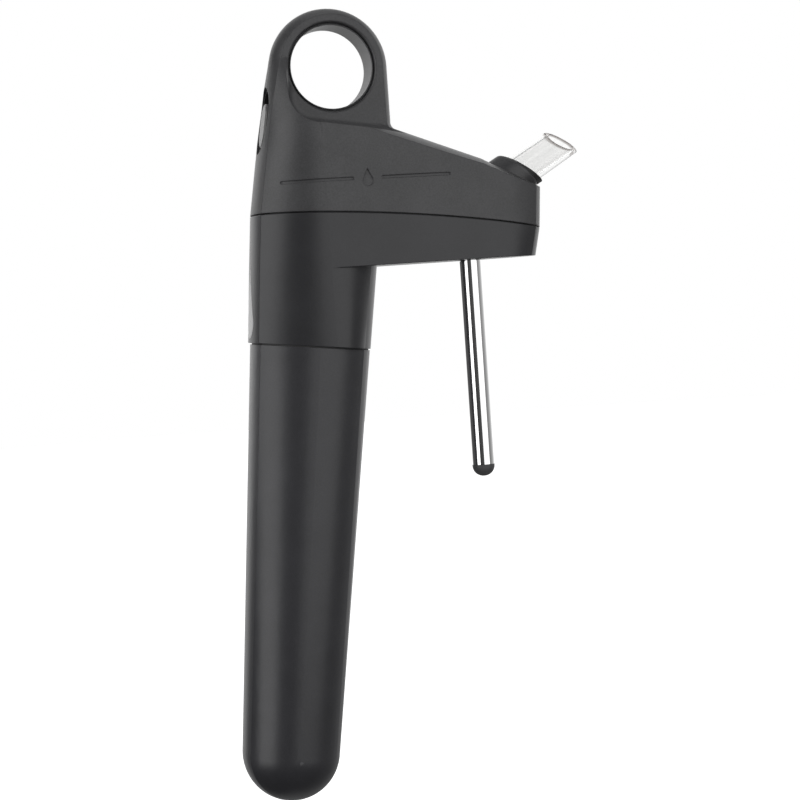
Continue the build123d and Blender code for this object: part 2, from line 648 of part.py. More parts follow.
# ---------------------------------------------------------------- wine manifold, tube and spout
SOCKET_END, SOCKET_FLOOR = 5.5, 1.6
SOCKET_R = 6.5
GROOVE_R, SPOUT_GROOVE_R = 4.4, 6.0
SEAL_GAP = 0.05
TUBE_GROOVE = (3.0, 4.6)
SPOUT_GROOVE = (2.6, 3.8)
MANIFOLD_LOW, MANIFOLD_HEIGHT = 2.2, 11.5
WINE_WAY_R = 2.4
with BuildPart() as manifold:
    with BuildSketch(Plane.XY.offset(MANIFOLD_LOW)):
        RectangleRounded(15, 12.6, 2)
    extrude(amount=MANIFOLD_HEIGHT)
    add(rod(spout_plane, SOCKET_R, -4, SOCKET_END))
    add(rod(gas_line_plane, PORT_R, CHECK_FRONT, -6))
    add(rod(gas_line_plane, 0.8, CHECK_FRONT, 0), mode=Mode.SUBTRACT)
    add(rod(spout_plane, SPOUT_R + RUNNING_GAP, SOCKET_FLOOR, 12), mode=Mode.SUBTRACT)
    add(rod(spout_plane, WINE_WAY_R, 0, 4), mode=Mode.SUBTRACT)
    add(rod(tube_plane, WINE_WAY_R, 0, SPOUT_Z), mode=Mode.SUBTRACT)
    add(rod(tube_plane, TUBE_NECK_R + RUNNING_GAP, 0, TUBE_TOP + 0.1), mode=Mode.SUBTRACT)
    add(rod(tube_plane, GROOVE_R, *TUBE_GROOVE), mode=Mode.SUBTRACT)
    add(rod(spout_plane, SPOUT_GROOVE_R, *SPOUT_GROOVE), mode=Mode.SUBTRACT)
finish(manifold.part, "manifold")

tube_seal_span = (TUBE_GROOVE[0] + SEAL_GAP, TUBE_GROOVE[1] - SEAL_GAP)
finish(washer(tube_plane, GROOVE_R - SEAL_GAP, TUBE_NECK_R + RUNNING_GAP, *tube_seal_span), "tube_seal")
spout_seal_span = (SPOUT_GROOVE[0] + SEAL_GAP, SPOUT_GROOVE[1] - SEAL_GAP)
spout_seal_r = SPOUT_GROOVE_R - SEAL_GAP
finish(washer(spout_plane, spout_seal_r, SPOUT_R + RUNNING_GAP, *spout_seal_span), "spout_seal")

with BuildPart() as pour_tube:
    add(rod(tube_plane, TUBE_R, TUBE_END, TUBE_SHOULDER))
    add(rod(tube_plane, TUBE_NECK_R, TUBE_SHOULDER, TUBE_TOP))
    add(rod(tube_plane, TUBE_BORE, TUBE_END, TUBE_TOP), mode=Mode.SUBTRACT)
    with BuildSketch(Plane.YZ.offset(1)):
        with Locations((0, (SLOT_LOW + SLOT_HIGH) / 2)):
            SlotOverall(SLOT_HIGH - SLOT_LOW, SLOT_WIDE, rotation=90)
    extrude(amount=4, mode=Mode.SUBTRACT)
finish(pour_tube.part, "pour_tube")

with BuildPart() as tube_tip:
    add(rod(tube_plane, TUBE_R, TIP_END, TUBE_END - RUNNING_GAP))
    fillet(tube_tip.edges().group_by(Axis.Z)[0], radius=TUBE_R - 0.15)
    add(rod(tube_plane, TUBE_BORE - RUNNING_GAP, TUBE_END - 1, TUBE_END + TIP_PLUG))
finish(tube_tip.part, "tube_tip")

with BuildPart() as tube_bush:
    add(rod(tube_plane, BUSH_R, 0.1, WALL))
    add(rod(tube_plane, TUBE_NECK_R + RUNNING_GAP, -1, WALL + 1), mode=Mode.SUBTRACT)
    chamfer(tube_bush.edges().group_by(Axis.Z)[0], length=0.3)
finish(tube_bush.part, "tube_bush")

SPOUT_START, SPOUT_TIP = 1.7, 38.5
mouth = Plane(origin=(29.95, 0, 32.25), x_dir=(0, 1, 0), z_dir=(0.542, 0, 0.840))
with BuildPart() as clear_spout:
    with BuildSketch(spout_plane.offset(SPOUT_START)):
        Circle(SPOUT_R)
    with BuildSketch(spout_plane.offset(19)):
        Circle(SPOUT_R)
    loft(ruled=True)
    with BuildSketch(spout_plane.offset(19)):
        Circle(SPOUT_R)
    with BuildSketch(spout_plane.offset(SPOUT_TIP)):
        Circle(SPOUT_END_R)
    loft(ruled=True)
    with BuildSketch(spout_plane.offset(SPOUT_START)):
        Circle(SPOUT_R - 1.5)
    with BuildSketch(spout_plane.offset(SPOUT_TIP)):
        Circle(SPOUT_END_R - 1.2)
    loft(ruled=True, mode=Mode.SUBTRACT)
    split(bisect_by=mouth, keep=Keep.BOTTOM)
    fillet(clear_spout.edges().group_by(Axis.Z)[-1], radius=0.25)
finish(clear_spout.part, "clear_spout")

with BuildPart() as spout_gasket:
    add(washer(spout_plane, GASKET_R, SPOUT_R + 0.05, GASKET_START, GASKET_END))
    split(bisect_by=boss_cut.offset(GASKET_PROUD), keep=Keep.BOTTOM)
    split(bisect_by=boss_cut.offset(-GASKET_DEPTH), keep=Keep.TOP)
finish(spout_gasket.part, "spout_gasket")

# ---------------------------------------------------------------- chassis and its screws
with BuildPart() as chassis:
    with BuildSketch(Plane.XY.offset(CHASSIS_LOW)):
        with Locations((-32.25, 0)):
            Rectangle(45.5, 20)
        with Locations(*SCREW_PLACES[2:]):
            Circle(2.2)
        with Locations((-8.5, 0)):
            Rectangle(21, 14, mode=Mode.SUBTRACT)
        with Locations((-44.8, 0)):
            Circle(3.0, mode=Mode.SUBTRACT)
        with Locations(*SCREW_PLACES):
            Circle(1.1, mode=Mode.SUBTRACT)
    extrude(amount=CHASSIS_THICK)
finish(chassis.part, "chassis")

head_low = CHASSIS_LOW - 1.7
with BuildPart() as chassis_screws:
    with BuildSketch(Plane.XY.offset(head_low)):
        with Locations(*SCREW_PLACES):
            Circle(SCREW_HEAD_R)
    extrude(amount=CHASSIS_LOW - head_low)
    with BuildSketch(Plane.XY.offset(head_low + 1.1)):
        with Locations(*SCREW_PLACES):
            Circle(SCREW_R)
    extrude(amount=9)
    with BuildSketch(Plane.XY.offset(head_low)):
        with Locations(*SCREW_PLACES):
            RegularPolygon(0.9, 6)
    extrude(amount=0.9, mode=Mode.SUBTRACT)
finish(chassis_screws.part, "chassis_screws")

# ---------------------------------------------------------------- gas regulator
PISTON_GROOVE_R = 6.9
with BuildPart() as regulator_body:
    add(rod(handle_plane, REGULATOR_R, REGULATOR_LOW, REGULATOR_TOP))
    add(rod(handle_plane, STUB_R, STUB_LOW, REGULATOR_LOW + 1))
    add(rod(handle_plane, 7.5, STUB_LOW - 1, -6), mode=Mode.SUBTRACT)
    add(rod(handle_plane, 4.4, -12.4, -5))
    add(rod(handle_plane, 0.72, -14, 1), mode=Mode.SUBTRACT)
    add(rod(handle_plane, REGULATOR_BORE, 8, 30), mode=Mode.SUBTRACT)
    add(rod(handle_plane, 0.5, 0, 9), mode=Mode.SUBTRACT)
    rims = regulator_body.edges().filter_by(GeomType.CIRCLE)
    chamfer(rims.filter_by(lambda e: abs(e.radius - STUB_R) < 0.01).sort_by(Axis.Z)[0], length=0.8)
finish(regulator_body.part, "regulator_body")

with BuildPart() as regulator_cap:
    add(rod(handle_plane, REGULATOR_R - 0.2, REGULATOR_TOP + 0.05, 24))
    chamfer(regulator_cap.edges().filter_by(GeomType.CIRCLE).sort_by(Axis.Z)[-1], length=0.8)
    add(rod(handle_plane, REGULATOR_BORE - 0.1, 18.2, 21))
    add(rod(handle_plane, PORT_R, 23, REGULATOR_PORT_TOP))
    add(rod(handle_plane, 0.8, 17, 30), mode=Mode.SUBTRACT)
finish(regulator_cap.part, "regulator_cap")

with BuildPart() as regulator_piston:
    add(rod(handle_plane, 7.6, 9.5, 12.6))
    add(rod(handle_plane, 2.5, 12.5, 14.5))
    add(washer(handle_plane, 8.5, PISTON_GROOVE_R, 10.5, 11.5), mode=Mode.SUBTRACT)
finish(regulator_piston.part, "regulator_piston")

piston_seal_r = REGULATOR_BORE - 0.25
finish(washer(handle_plane, piston_seal_r, PISTON_GROOVE_R + RUNNING_GAP, 10.55, 11.45), "piston_seal")

finish(coil(handle_plane, 5.2, 1.0, 13.3, 17.5, 3), "regulator_spring")

with BuildPart() as piercing_pin:
    add(rod(handle_plane, 0.7, -14.8, 0.9))
    chamfer(piercing_pin.edges().group_by(Axis.Z)[0], length=0.4, length2=0.65)
finish(piercing_pin.part, "piercing_pin")

finish(washer(handle_plane, 4.2, 1.4, -13.8, -12.42), "pierce_seal")

# ---------------------------------------------------------------- gas capsule in its screwed cup
with BuildPart() as gas_capsule:
    with BuildSketch(handle_side):
        with BuildLine():
            Line((0, CAPSULE_TOP), (4.4, CAPSULE_TOP))
            FilletPolyline((4.4, CAPSULE_TOP), (4.4, -25), (CAPSULE_R, -34),
                           (CAPSULE_R, CAPSULE_LOW + CAPSULE_R), radius=3)
            RadiusArc((CAPSULE_R, CAPSULE_LOW + CAPSULE_R), (0, CAPSULE_LOW), CAPSULE_R)
            Line((0, CAPSULE_LOW), (0, CAPSULE_TOP))
        make_face()
    revolve(axis=handle_axis)
    with BuildSketch(handle_side):
        with BuildLine():
            inner_low = CAPSULE_LOW + CAPSULE_WALL
            inner_r = CAPSULE_R - CAPSULE_WALL
            Line((0, -17), (2.4, -17))
            FilletPolyline((2.4, -17), (2.4, -26.5), (inner_r, -35.5),
                           (inner_r, inner_low + inner_r), radius=3)
            RadiusArc((inner_r, inner_low + inner_r), (0, inner_low), inner_r)
            Line((0, inner_low), (0, -17))
        make_face()
    revolve(axis=handle_axis, mode=Mode.SUBTRACT)
    add(rod(handle_plane, 1.2, -18, CAPSULE_TOP + 1), mode=Mode.SUBTRACT)
finish(gas_capsule.part, "gas_capsule")

with BuildPart() as capsule_cup:
    add(rod(handle_plane, CUP_R, CUP_LOW, CUP_TOP))
    fillet(capsule_cup.edges().filter_by(GeomType.CIRCLE).sort_by(Axis.Z)[0], radius=2.5)
    add(rod(handle_plane, CUP_BORE, CUP_LOW + 1.8, CUP_TOP + 1), mode=Mode.SUBTRACT)
finish(capsule_cup.part, "capsule_cup")

with BuildPart() as cup_pad:
    add(rod(handle_plane, CUP_BORE - 0.3, CUP_LOW + 1.82, CAPSULE_LOW - 0.2))
finish(cup_pad.part, "cup_pad")

GRIP_OUT, GRIP_IN = COVER_INSET + COVER_WALL + 0.05, COVER_INSET + COVER_WALL + 0.28
with BuildPart() as grip_band:
    loft([handle_outline(-1.6, GRIP_OUT), handle_outline(-2.8, GRIP_OUT)], ruled=True)
    loft([handle_outline(-1.0, GRIP_IN), handle_outline(-3.4, GRIP_IN)], ruled=True, mode=Mode.SUBTRACT)
finish(grip_band.part, "grip_band")
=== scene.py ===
"""A hand-held gas wine pourer: materials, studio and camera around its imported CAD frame. Metres."""
import math

import bmesh
import bpy
from mathutils import Matrix, Vector


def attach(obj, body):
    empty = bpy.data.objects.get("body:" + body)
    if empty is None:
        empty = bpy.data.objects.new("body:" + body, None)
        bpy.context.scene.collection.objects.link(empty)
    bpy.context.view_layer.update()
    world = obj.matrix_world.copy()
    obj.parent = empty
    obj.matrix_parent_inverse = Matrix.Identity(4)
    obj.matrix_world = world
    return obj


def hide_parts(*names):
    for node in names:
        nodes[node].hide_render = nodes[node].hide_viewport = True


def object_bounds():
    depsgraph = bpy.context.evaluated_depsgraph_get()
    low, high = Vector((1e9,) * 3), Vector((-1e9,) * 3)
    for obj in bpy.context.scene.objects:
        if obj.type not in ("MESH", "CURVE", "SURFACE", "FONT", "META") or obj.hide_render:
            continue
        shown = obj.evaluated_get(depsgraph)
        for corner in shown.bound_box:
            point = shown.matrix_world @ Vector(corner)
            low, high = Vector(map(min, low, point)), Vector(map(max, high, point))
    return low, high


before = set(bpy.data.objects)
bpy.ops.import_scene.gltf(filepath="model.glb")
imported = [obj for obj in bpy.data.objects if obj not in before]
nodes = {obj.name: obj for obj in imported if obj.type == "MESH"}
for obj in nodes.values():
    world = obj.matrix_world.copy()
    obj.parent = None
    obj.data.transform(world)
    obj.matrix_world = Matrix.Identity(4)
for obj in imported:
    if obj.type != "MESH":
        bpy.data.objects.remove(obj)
cad_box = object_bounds()
scene = bpy.context.scene

MM = 0.001

# the clear spout: its axis from the vertical in degrees, and the slanting plane of its mouth
SPOUT_LEAN = 90 - 29.7
MOUTH_AT = (29.95 * MM, 0, 32.25 * MM)
MOUTH_NORMAL = (0.542, 0, 0.840)
MOUTH_SHADE_START, MOUTH_SHADE_FULL = -0.75 * MM, -0.40 * MM      # depth behind that plane of the painted shade on the cut mouth

# the pour tube, millimetres: radii, heights along Z, and the round-ended slot that faces +X
TUBE_R, TUBE_BORE, TUBE_NECK_R = 3.25, 2.55, 2.95
TUBE_END, TUBE_SHOULDER, TUBE_TOP = -59.4, -0.3, 9.9
TUBE_EDGE, TUBE_EDGE_STEP = 0.12, 0.03       # softened outer edge of the lower end
TUBE_BANDS = (-30, -12)                      # extra rings that keep the long wall's faces short
TUBE_SIDES = 192
SLOT_LOW, SLOT_HIGH, SLOT_WIDE = -52.7, -45.0, 2.3
SLOT_MARGIN = 1                              # rings of the wall above and below the slot
CUT_FROM, CUT_TO = 1, 5                      # the cutter passes through the +X wall only
SLOT_STEPS = 28
WALL_FACING, WALL_LEVEL = 0.97, 0.02         # a face of the round walls looks outwards or inwards, and level

# the printed droplet on the rear band, millimetres
MARK_LOW, MARK_TOP, MARK_HALF = -18.0, 3.0, 4.2
MARK_LIFT = 0.04
MARK_ARC_START, MARK_ARC_SWEEP = -208, 236   # degrees of the round lower part
MARK_ARC_STEPS, MARK_FLANK_STEPS = 48, 12
MARK_FLANK_CURVE = 1.25
MARK_RINGS = (1.0, 0.985, 0.8, 0.6, 0.4, 0.2)     # sizes of the rings that fill it; the first is its rim
BEHIND = -200                                # a place on X behind the whole object

# the studio: radiance of the air by azimuth (0 in front, 90 on the +X side), and its share by height
AIR_ROUND_ABOUT = (
    (-180, 1.25), (-153, 1.15), (-143, 0.10), (-98, 0.06), (-42, 0.05), (-9, 0.08),
    (62, 0.24), (92, 0.42), (112, 0.70), (130, 1.15), (180, 1.25),
)
AIR_UP_AND_DOWN = ((-1, 0.30), (-0.5, 0.32), (0.0, 1.0), (0.35, 1.0), (0.65, 0.4), (1, 0.3))
FLOOR_DROP, FLOOR_REACH = 0.18, 4.0
FLOOR_SIDES, FLOOR_RINGS = 64, 6
PAPER_GLOW = 0.95                            # the floor's own light, so that it stays white in soft light
LAMP_DISTANCE, LAMP_HEIGHT = 0.9, 1.25
LAMP_RISE = 12                               # degrees above the object's middle
OVERHEAD_STRENGTH, OVERHEAD_SPREAD = 0.25, 50

# the camera
CAMERA_PLACE = Vector((-0.14658, -0.50091, -0.00734))
CAMERA_TARGET = Vector((-0.02284, 0.00317, -0.03895))
CAMERA_LEAN = math.radians(4.1)              # roll to the right
CAMERA_LENS, CAMERA_SENSOR, CAMERA_CLIP = 80.955, 36, 0.01


# ---------------------------------------------------------------- materials
class Shader:
    """A small helper that adds nodes to one material and links them."""

    def __init__(self, name):
        self.material = bpy.data.materials.new(name)
        self.material.use_nodes = True
        self.tree = self.material.node_tree
        self.tree.nodes.clear()
        out = self.add("ShaderNodeOutputMaterial")
        self.bsdf = self.add("ShaderNodeBsdfPrincipled")
        self.link(self.bsdf.outputs["BSDF"], out.inputs["Surface"])
        coordinates = self.add("ShaderNodeTexCoord")
        self.place = coordinates.outputs["Object"]

    def add(self, kind, **settings):
        node = self.tree.nodes.new(kind)
        for key, value in settings.items():
            setattr(node, key, value)
        return node

    def link(self, source, target):
        self.tree.links.new(source, target)

    def set(self, **values):
        """Constants on the shader's own sockets."""
        for key, value in values.items():
            self.bsdf.inputs[key.replace("_", " ")].default_value = value

    def noise(self, size, detail=3.0, roughness=0.5, stretch=(1, 1, 1)):
        """A noise whose features are about `size` metres across."""
        mapping = self.add("ShaderNodeMapping")
        mapping.inputs["Scale"].default_value = stretch
        self.link(self.place, mapping.inputs["Vector"])
        noise = self.add("ShaderNodeTexNoise")
        noise.inputs["Scale"].default_value = 1.0 / size
        noise.inputs["Detail"].default_value = detail
        noise.inputs["Roughness"].default_value = roughness
        self.link(mapping.outputs["Vector"], noise.inputs["Vector"])
        return noise.outputs["Fac"]

    def span(self, source, low, high, start=0.3, end=0.7):
        """`source` mapped from start..end onto low..high."""
        node = self.add("ShaderNodeMapRange")
        node.inputs["From Min"].default_value = start
        node.inputs["From Max"].default_value = end
        node.inputs["To Min"].default_value = low
        node.inputs["To Max"].default_value = high
        self.link(source, node.inputs["Value"])
        return node.outputs["Result"]

    def blend(self, factor, first, second):
        """Two colours mixed by `factor`."""
        node = self.add("ShaderNodeMix", data_type="RGBA")
        node.inputs["A"].default_value = (*first, 1)
        node.inputs["B"].default_value = (*second, 1)
        self.link(factor, node.inputs["Factor"])
        return node.outputs["Result"]

    def speckle(self, colour, source, depth):
        """`colour` made lighter and darker by up to `depth` of itself."""
        node = self.add("ShaderNodeMix", data_type="RGBA", blend_type="MULTIPLY")
        node.inputs["Factor"].default_value = 1.0
        self.link(colour, node.inputs["A"])
        self.link(self.span(source, 1 - depth, 1 + depth), node.inputs["B"])
        return node.outputs["Result"]

    def bump(self, height, distance, below=None):
        """A normal raised by `height` times `distance` metres, on top of the normal `below`."""
        node = self.add("ShaderNodeBump")
        node.inputs["Distance"].default_value = distance
        node.inputs["Strength"].default_value = 1.0
        self.link(height, node.inputs["Height"])
        if below is not None:
            self.link(below, node.inputs["Normal"])
        return node.outputs["Normal"]


def grey(value, warmth=0.0):
    """A linear colour from an sRGB level of 0 to 255; warmth above 0 is yellower, below is bluer."""
    level = ((value / 255 + 0.055) / 1.055) ** 2.4
    yellow = level * (1 + warmth / 2)
    return (yellow, yellow, level * (1 - warmth))


def plastic(name, dark, light, roughness, grain, grain_depth, edge=0.4 * MM, fleck=0.08):
    """Moulded plastic with a spark-eroded grain, cloudy tone and softly rounded edges."""
    s = Shader(name)
    clouds = s.noise(9 * MM, detail=4)
    coarse = s.noise(1.7 * grain, detail=2)
    fine = s.noise(grain, detail=2, roughness=0.6)
    tone = s.blend(s.span(clouds, 0, 1), dark, light)
    s.link(s.speckle(tone, coarse, fleck), s.bsdf.inputs["Base Color"])
    s.link(s.span(fine, roughness - 0.04, roughness + 0.04), s.bsdf.inputs["Roughness"])
    rounded = s.add("ShaderNodeBevel", samples=6)
    rounded.inputs["Radius"].default_value = edge
    s.link(s.bump(fine, grain_depth, below=rounded.outputs["Normal"]), s.bsdf.inputs["Normal"])
    s.set(IOR=1.5)
    return s.material


def polished(name, colour, roughness, streak):
    """Polished metal with very fine drawn streaks along its axis."""
    s = Shader(name)
    streaks = s.noise(streak, detail=2, stretch=(1, 1, 0.02))
    s.link(s.span(streaks, roughness, roughness + 0.03), s.bsdf.inputs["Roughness"])
    s.link(s.blend(streaks, colour, [c * 0.97 for c in colour]), s.bsdf.inputs["Base Color"])
    s.set(Metallic=1.0)
    return s.material


def rubber(name, dark, light):
    """Soft moulded rubber with a faint bloom."""
    s = Shader(name)
    bloom = s.noise(2.5 * MM, detail=5)
    fine = s.noise(0.12 * MM)
    s.link(s.blend(s.span(bloom, 0, 1), dark, light), s.bsdf.inputs["Base Color"])
    s.link(s.span(bloom, 0.5, 0.62), s.bsdf.inputs["Roughness"])
    s.link(s.bump(fine, 0.01 * MM), s.bsdf.inputs["Normal"])
    return s.material


def clear(name):
    """Clear moulded plastic with faint flow lines along its axis, and painted shade on the cut at the mouth
    that stands in for its darkening by refraction.
    """
    s = Shader(name)
    here = s.place
    lean = s.add("ShaderNodeMapping")
    lean.inputs["Rotation"].default_value = (0, math.radians(-SPOUT_LEAN), 0)
    s.link(here, lean.inputs["Vector"])
    s.place = lean.outputs["Vector"]
    flow = s.noise(1.6 * MM, detail=2, stretch=(1, 1, 0.05))
    streaks = s.blend(s.span(flow, 0, 1), (0.79, 0.79, 0.785), (0.91, 0.91, 0.905))
    offset = s.add("ShaderNodeVectorMath", operation="SUBTRACT")
    offset.inputs[1].default_value = MOUTH_AT
    s.link(here, offset.inputs[0])
    depth = s.add("ShaderNodeVectorMath", operation="DOT_PRODUCT")
    depth.inputs[1].default_value = MOUTH_NORMAL
    s.link(offset.outputs["Vector"], depth.inputs[0])
    # painted shade: the cut at the mouth is coloured dark grey-brown in place of the darkening that
    # refraction gives it
    cut = s.add("ShaderNodeMix", data_type="RGBA")
    cut.inputs["B"].default_value = (0.30, 0.28, 0.27, 1)
    s.link(streaks, cut.inputs["A"])
    mouth_shade_share = s.span(depth.outputs["Value"], 0, 1, MOUTH_SHADE_START, MOUTH_SHADE_FULL)
    s.link(mouth_shade_share, cut.inputs["Factor"])
    s.link(cut.outputs["Result"], s.bsdf.inputs["Base Color"])
    s.link(s.span(flow, 0.02, 0.04), s.bsdf.inputs["Roughness"])
    s.set(IOR=1.12, Transmission_Weight=0.95)
    return s.material


def ink(name, dark, light):
    """Screen-printed ink, a little uneven."""
    s = Shader(name)
    film = s.noise(0.7 * MM, detail=3)
    s.link(s.blend(s.span(film, 0, 1), dark, light), s.bsdf.inputs["Base Color"])
    s.link(s.span(film, 0.38, 0.48), s.bsdf.inputs["Roughness"])
    return s.material


MATERIALS = {
    "cover_plastic": plastic(
        "cover_plastic", grey(64, -0.03), grey(71, -0.03), 0.40, 0.26 * MM, 0.022 * MM, fleck=0.14
    ),
    "body_plastic": plastic("body_plastic", grey(45, -0.07), grey(50, -0.07), 0.34, 0.22 * MM, 0.010 * MM),
    "handle_plastic": plastic(
        "handle_plastic", grey(54, -0.07), grey(59, -0.07), 0.34, 0.24 * MM, 0.011 * MM, edge=0.15 * MM
    ),
    "button_plastic": plastic("button_plastic", grey(94), grey(102), 0.34, 0.2 * MM, 0.008 * MM),
    "bezel_plastic": plastic("bezel_plastic", grey(34), grey(40), 0.4, 0.2 * MM, 0.01 * MM),
    "inner_plastic": plastic("inner_plastic", grey(196), grey(205), 0.45, 0.3 * MM, 0.01 * MM),
    "chassis_plastic": plastic("chassis_plastic", grey(60), grey(70), 0.5, 0.3 * MM, 0.015 * MM),
    "hose_plastic": plastic("hose_plastic", grey(180), grey(200), 0.35, 0.6 * MM, 0.006 * MM),
    "clear_plastic": clear("clear_plastic"),
    "tube_chrome": polished("tube_chrome", (0.92, 0.92, 0.92), 0.02, 0.15 * MM),
    "steel": polished("steel", (0.60, 0.60, 0.61), 0.18, 0.2 * MM),
    "capsule_steel": polished("capsule_steel", (0.62, 0.62, 0.63), 0.2, 0.2 * MM),
    "cup_aluminium": polished("cup_aluminium", (0.75, 0.76, 0.77), 0.3, 0.2 * MM),
    "brass": polished("brass", (0.80, 0.60, 0.30), 0.22, 0.2 * MM),
    "black_tip": rubber("black_tip", grey(78, -0.03), grey(85, -0.03)),
    "seal_rubber": rubber("seal_rubber", grey(36), grey(42)),
}

for node in nodes.values():
    for slot in node.material_slots:
        slot.material = MATERIALS[slot.material.name]


# ---------------------------------------------------------------- pieces made in mesh
def object_from(name, bm):
    """A new object in the scene from a finished bmesh."""
    mesh = bpy.data.meshes.new(name)
    bm.to_mesh(mesh)
    bm.free()
    made = bpy.data.objects.new(name, mesh)
    scene.collection.objects.link(made)
    return made


def turned(name, profile, segments):
    """A closed ring of (radius, height) points turned round the Z axis; millimetres in, metres out."""
    bm = bmesh.new()
    rings = []
    for k in range(segments):
        turn = 2 * math.pi * k / segments
        along, across = math.cos(turn), math.sin(turn)
        rings.append([bm.verts.new((r * along * MM, r * across * MM, z * MM)) for r, z in profile])
    for k in range(segments):
        here = rings[k]
        beside = rings[(k + 1) % segments]
        for i in range(len(profile)):
            j = (i + 1) % len(profile)
            bm.faces.new((here[i], beside[i], beside[j], here[j]))
    bmesh.ops.recalc_face_normals(bm, faces=bm.faces)
    return object_from(name, bm)


def slot_cutter():
    """A round-ended prism along +X that cuts the slot."""
    half = SLOT_WIDE / 2
    turns = [math.pi * k / SLOT_STEPS for k in range(SLOT_STEPS + 1)]
    outline = [(half * math.cos(turn), SLOT_HIGH - half + half * math.sin(turn)) for turn in turns]
    outline += [(-half * math.cos(turn), SLOT_LOW + half - half * math.sin(turn)) for turn in turns]
    bm = bmesh.new()
    near = [bm.verts.new((CUT_FROM * MM, y * MM, z * MM)) for y, z in outline]
    far = [bm.verts.new((CUT_TO * MM, y * MM, z * MM)) for y, z in outline]
    bm.faces.new(near)
    bm.faces.new(far)
    for i in range(len(outline)):
        j = (i + 1) % len(outline)
        bm.faces.new((near[i], near[j], far[j], far[i]))
    bmesh.ops.recalc_face_normals(bm, faces=bm.faces)
    return object_from("slot_cutter", bm)


def wall_normals(mesh):
    """Corner normals: exactly radial on the round walls, and flat on the ends and in the slot."""
    normals = [None] * len(mesh.loops)
    for face in mesh.polygons:
        outward = Vector((face.center.x, face.center.y, 0)).normalized()
        side = face.normal.dot(outward)
        round_wall = abs(side) > WALL_FACING and abs(face.normal.z) < WALL_LEVEL
        for loop in face.loop_indices:
            corner = mesh.vertices[mesh.loops[loop].vertex_index].co
            radial = Vector((corner.x, corner.y, 0)).normalized()
            normals[loop] = radial * math.copysign(1, side) if round_wall else face.normal.copy()
    return normals


def make_tube():
    """The chrome pour tube, turned fine enough for clean reflections, with its side slot."""
    slot_rings = (SLOT_LOW - SLOT_MARGIN, SLOT_HIGH + SLOT_MARGIN)
    profile = [
        (TUBE_BORE, TUBE_END),
        (TUBE_R - TUBE_EDGE, TUBE_END),
        (TUBE_R - TUBE_EDGE_STEP, TUBE_END + TUBE_EDGE_STEP),
        (TUBE_R, TUBE_END + TUBE_EDGE),
        *((TUBE_R, z) for z in slot_rings + TUBE_BANDS),
        (TUBE_R, TUBE_SHOULDER),
        (TUBE_NECK_R, TUBE_SHOULDER),
        (TUBE_NECK_R, TUBE_TOP),
        (TUBE_BORE, TUBE_TOP),
        *((TUBE_BORE, z) for z in reversed(slot_rings)),
    ]
    blank = turned("tube_blank", profile, TUBE_SIDES)
    cutter = slot_cutter()
    cut = blank.modifiers.new("slot", "BOOLEAN")
    cut.operation = "DIFFERENCE"
    cut.solver = "EXACT"
    cut.object = cutter
    settled = blank.evaluated_get(bpy.context.evaluated_depsgraph_get())
    mesh = bpy.data.meshes.new_from_object(settled)
    mesh.name = "pour_tube_skin"
    for scrap in (blank, cutter):
        bpy.data.objects.remove(scrap, do_unlink=True)
    for face in mesh.polygons:
        face.use_smooth = True
    mesh.normals_split_custom_set(wall_normals(mesh))
    tube = bpy.data.objects.new("pour_tube_skin", mesh)
    scene.collection.objects.link(tube)
    mesh.materials.clear()
    mesh.materials.append(MATERIALS["tube_chrome"])
    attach(tube, "head")
    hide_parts("pour_tube")


def droplet_outline(centre_z):
    """A droplet in Y and Z, round below and pointed above, in millimetres."""
    round_part = []
    for k in range(MARK_ARC_STEPS + 1):
        turn = math.radians(MARK_ARC_START + MARK_ARC_SWEEP * k / MARK_ARC_STEPS)
        round_part.append((MARK_HALF * math.cos(turn), centre_z + MARK_HALF * math.sin(turn)))

    def flank(start):
        shares = [k / MARK_FLANK_STEPS for k in range(1, MARK_FLANK_STEPS)]
        return [
            (start[0] * (1 - share) ** MARK_FLANK_CURVE, start[1] + (MARK_TOP - start[1]) * share)
            for share in shares
        ]

    return round_part + flank(round_part[-1]) + [(0.0, MARK_TOP)] + flank(round_part[0])[::-1]


def make_mark():
    """A plain printed droplet on the rear band of the lower body, laid on the surface."""
    body = nodes["lower_body"]
    into_body = body.matrix_world.inverted()
    centre_z = MARK_LOW + MARK_HALF
    outline = droplet_outline(centre_z)
    bm = bmesh.new()

    def laid(y, z, lift):
        start = into_body @ Vector((BEHIND * MM, y * MM, z * MM))
        found, where, _, _ = body.ray_cast(start, Vector((1, 0, 0)))
        if not found:
            raise ValueError("the mark misses the lower body")
        point = body.matrix_world @ where
        return bm.verts.new((point.x - lift * MM, point.y, point.z))

    rings = []
    for share in MARK_RINGS:
        lift = 0.0 if share == MARK_RINGS[0] else MARK_LIFT
        rings.append([laid(y * share, centre_z + (z - centre_z) * share, lift) for y, z in outline])
    middle_point = laid(0, centre_z, MARK_LIFT)
    count = len(outline)
    for outer, inner in zip(rings, rings[1:]):
        for i in range(count):
            j = (i + 1) % count
            bm.faces.new((outer[i], outer[j], inner[j], inner[i]))
    for i in range(count):
        bm.faces.new((rings[-1][i], rings[-1][(i + 1) % count], middle_point))
    bmesh.ops.recalc_face_normals(bm, faces=bm.faces)
    for face in bm.faces:
        face.smooth = True
    mark = object_from("droplet_mark", bm)
    mark.data.materials.append(ink("mark_ink", grey(205), grey(218)))
    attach(mark, "head")


make_tube()
make_mark()


# ---------------------------------------------------------------- studio
low, high = (Vector(corner) for corner in cad_box)
middle = (low + high) / 2


